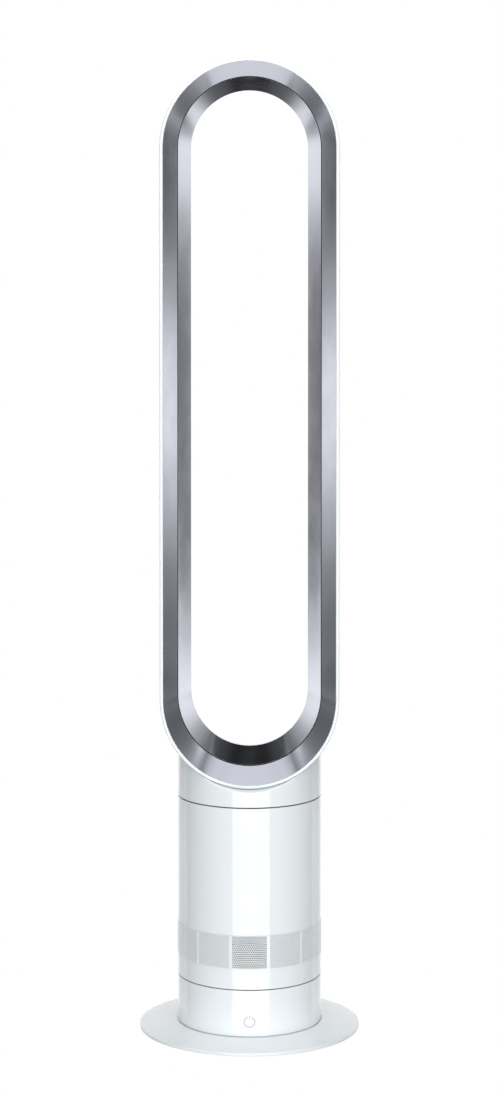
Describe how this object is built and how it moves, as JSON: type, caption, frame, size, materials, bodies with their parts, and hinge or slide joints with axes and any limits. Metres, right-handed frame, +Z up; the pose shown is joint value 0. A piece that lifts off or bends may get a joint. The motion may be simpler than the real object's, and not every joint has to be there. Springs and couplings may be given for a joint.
{
  "type": "bladeless tower fan",
  "caption": "White tower fan: a tall open loop with a silver inside blows air, on a round body with a perforated inlet band that swivels on a drum and plate.",
  "frame": {"origin": "on the floor, under the middle of the round plate and on the swivel axis", "axes": "+Z up along the swivel axis; the loop blows towards -Y, where the power button is; +X is to the right seen from the front"},
  "size_m": [0.229, 0.229, 1.0101],
  "materials": {
    "white_plastic": "gloss white moulding",
    "silver_plastic": "polished silver plating on plastic",
    "grey_plastic": "moulded, fine spark texture",
    "black_plastic": "moulded, satin",
    "acetal": "natural acetal, waxy",
    "circuit_board": "green solder mask",
    "foam": "open-cell foam",
    "rubber": "moulded rubber, matt",
    "steel": "zinc plated, turned",
    "laminations": "stacked steel sheet",
    "ferrite": "sintered, dull",
    "copper": "enamelled wire",
    "aluminium": "pressed sheet"
  },
  "bodies": {
    "stand": {"base_plate": "white_plastic", "base_undercover": "grey_plastic", "ballast_disc": "steel", "foot_pad_1": "rubber", "foot_pad_2": "rubber", "foot_pad_3": "rubber", "foot_pad_4": "rubber", "foot_pad_5": "rubber", "foot_pad_6": "rubber", "plate_screw_1": "steel", "plate_screw_2": "steel", "plate_screw_3": "steel", "plate_screw_4": "steel", "drum_shell": "white_plastic", "drum_chassis": "grey_plastic", "cable_gland": "rubber", "control_board": "circuit_board", "power_switch": "black_plastic", "infrared_receiver": "black_plastic", "power_board": "circuit_board", "power_transformer": "ferrite", "power_capacitor": "black_plastic", "swivel_bearing_ring": "acetal", "swivel_retainer": "steel", "stepper_motor": "steel", "stepper_screw_1": "steel", "stepper_screw_2": "steel"},
    "pinion": {"swivel_pinion": "acetal", "stepper_shaft": "steel"},
    "power_button": {"power_button": "white_plastic", "switch_plunger": "black_plastic"},
    "upper_body": {"body_shell": "white_plastic", "inlet_grille": "white_plastic", "body_floor": "grey_plastic", "swivel_gear": "acetal", "inlet_foam": "foam", "duct_foam": "foam", "isolation_ring": "rubber", "impeller_housing": "grey_plastic", "diffuser": "grey_plastic", "motor_bucket": "grey_plastic", "motor_stator": "laminations", "stator_winding": "copper", "motor_bearing_lower": "steel", "motor_bearing_upper": "steel", "motor_bracket": "aluminium", "motor_driver_board": "circuit_board", "motor_dome": "grey_plastic", "body_top_ring": "grey_plastic", "collar_gasket": "rubber", "loop_collar": "white_plastic", "loop_casing": "white_plastic", "loop_guide": "silver_plastic", "loop_inner_wall": "silver_plastic"},
    "impeller": {"impeller": "black_plastic", "impeller_shroud": "black_plastic", "impeller_nut": "steel", "motor_shaft": "steel", "rotor_magnet": "ferrite"}
  },
  "joints": [
    {"name": "swivel", "type": "hinge", "parent": "stand", "child": "upper_body", "pos_m": [0, 0, 0.055], "axis": [0, 0, 1], "range_deg": [-35, 35]},
    {"name": "pinion_spin", "type": "hinge", "parent": "stand", "child": "pinion", "pos_m": [0, 0.036, 0.055], "axis": [0, 0, 1], "range_deg": [-125, 125]},
    {"name": "impeller_spin", "type": "hinge", "parent": "upper_body", "child": "impeller", "pos_m": [0, 0, 0.135], "axis": [0, 0, 1], "continuous": true},
    {"name": "button_press", "type": "slide", "parent": "stand", "child": "power_button", "axis": [0, 1, 0], "range_m": [0, 0.0008], "stiffness_N_per_m": 600, "springref_m": -0.002}
  ],
  "couplings": [
    {"joint": "pinion_spin", "follows": "swivel", "ratio": -3.5}
  ]
}
